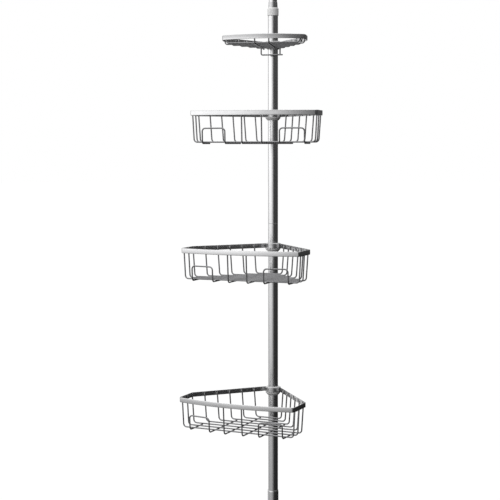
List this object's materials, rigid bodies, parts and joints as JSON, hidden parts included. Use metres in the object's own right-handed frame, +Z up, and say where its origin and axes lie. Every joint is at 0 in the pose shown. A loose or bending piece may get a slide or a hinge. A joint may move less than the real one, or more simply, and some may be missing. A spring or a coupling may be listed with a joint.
{
  "type": "tension pole shower caddy",
  "caption": "Shower caddy on a telescoping tension pole, with corner wire baskets and a soap dish that slide and swivel on split clamps.",
  "frame": {"origin": "on the pole's axis, at the underside of the floor pad", "axes": "+Z up along the pole; the shelves reach out towards -Y; +X is to the right for someone facing the shelves"},
  "size_m": [0.3519, 0.2772, 1.7],
  "materials": {
    "tube_steel": "satin brushed stainless steel tube",
    "rim_steel": "satin flat steel strip",
    "wire_steel": "satin steel wire, welded",
    "spring_steel": "plain spring steel",
    "grey_plastic": "matte moulded grey plastic",
    "dark_plastic": "matte moulded dark plastic",
    "rubber": "matte rubber"
  },
  "bodies": {
    "pole": {"floor_pad": "rubber", "foot_socket": "tube_steel", "lower_tube": "tube_steel", "tube_coupler": "spring_steel", "upper_tube": "tube_steel", "collet": "dark_plastic"},
    "lock_collar": {"lock_collar": "grey_plastic"},
    "inner_pole": {"inner_tube": "tube_steel", "inner_end_plug": "dark_plastic", "spring_seat": "dark_plastic", "tension_spring": "spring_steel", "plunger_bush": "grey_plastic"},
    "ceiling_plunger": {"plunger": "tube_steel", "ceiling_cup": "grey_plastic", "ceiling_pad": "rubber"},
    "soap_dish_clamp": {"soap_dish_clamp_front": "grey_plastic", "soap_dish_clamp_back": "grey_plastic"},
    "soap_dish": {"soap_dish_rim": "rim_steel", "soap_dish_hub": "rim_steel", "soap_dish_wires": "wire_steel", "soap_dish_hanger": "wire_steel"},
    "upper_basket_clamp": {"upper_basket_clamp_front": "grey_plastic", "upper_basket_clamp_back": "grey_plastic"},
    "upper_basket": {"upper_basket_rim": "rim_steel", "upper_basket_hub": "rim_steel", "upper_basket_wires": "wire_steel", "upper_basket_guard_left": "wire_steel", "upper_basket_guard_right": "wire_steel"},
    "middle_basket_clamp": {"middle_basket_clamp_front": "grey_plastic", "middle_basket_clamp_back": "grey_plastic"},
    "middle_basket": {"middle_basket_rim": "rim_steel", "middle_basket_hub": "rim_steel", "middle_basket_wires": "wire_steel", "middle_basket_guard_left": "wire_steel", "middle_basket_guard_right": "wire_steel"},
    "lower_basket_clamp": {"lower_basket_clamp_front": "grey_plastic", "lower_basket_clamp_back": "grey_plastic"},
    "lower_basket": {"lower_basket_rim": "rim_steel", "lower_basket_hub": "rim_steel", "lower_basket_wires": "wire_steel", "lower_basket_guard_left": "wire_steel", "lower_basket_guard_right": "wire_steel"}
  },
  "joints": [
    {"name": "collar_twist", "type": "hinge", "parent": "pole", "child": "lock_collar", "pos_m": [0, 0, 1.293], "axis": [0, 0, 1], "range_deg": [0, 90]},
    {"name": "height_slide", "type": "slide", "parent": "pole", "child": "inner_pole", "axis": [0, 0, 1], "range_m": [-0.17, 0.6]},
    {"name": "plunger_slide", "type": "slide", "parent": "inner_pole", "child": "ceiling_plunger", "axis": [0, 0, 1], "range_m": [-0.035, 0], "stiffness_N_per_m": 2500, "springref_m": 0.012, "deforming": ["tension_spring"]},
    {"name": "soap_dish_height", "type": "slide", "parent": "pole", "child": "soap_dish_clamp", "axis": [0, 0, 1], "range_m": [-0.04, 0.04]},
    {"name": "soap_dish_swivel", "type": "hinge", "parent": "soap_dish_clamp", "child": "soap_dish", "pos_m": [0, 0, 1.2188], "axis": [0, 0, 1], "continuous": true},
    {"name": "upper_basket_height", "type": "slide", "parent": "pole", "child": "upper_basket_clamp", "axis": [0, 0, 1], "range_m": [-0.11, 0.05]},
    {"name": "upper_basket_swivel", "type": "hinge", "parent": "upper_basket_clamp", "child": "upper_basket", "pos_m": [0, 0, 1.042], "axis": [0, 0, 1], "continuous": true},
    {"name": "middle_basket_height", "type": "slide", "parent": "pole", "child": "middle_basket_clamp", "axis": [0, 0, 1], "range_m": [-0.12, 0.11]},
    {"name": "middle_basket_swivel", "type": "hinge", "parent": "middle_basket_clamp", "child": "middle_basket", "pos_m": [0, 0, 0.71], "axis": [0, 0, 1], "continuous": true},
    {"name": "lower_basket_height", "type": "slide", "parent": "pole", "child": "lower_basket_clamp", "axis": [0, 0, 1], "range_m": [-0.15, 0.12]},
    {"name": "lower_basket_swivel", "type": "hinge", "parent": "lower_basket_clamp", "child": "lower_basket", "pos_m": [0, 0, 0.34], "axis": [0, 0, 1], "continuous": true}
  ]
}
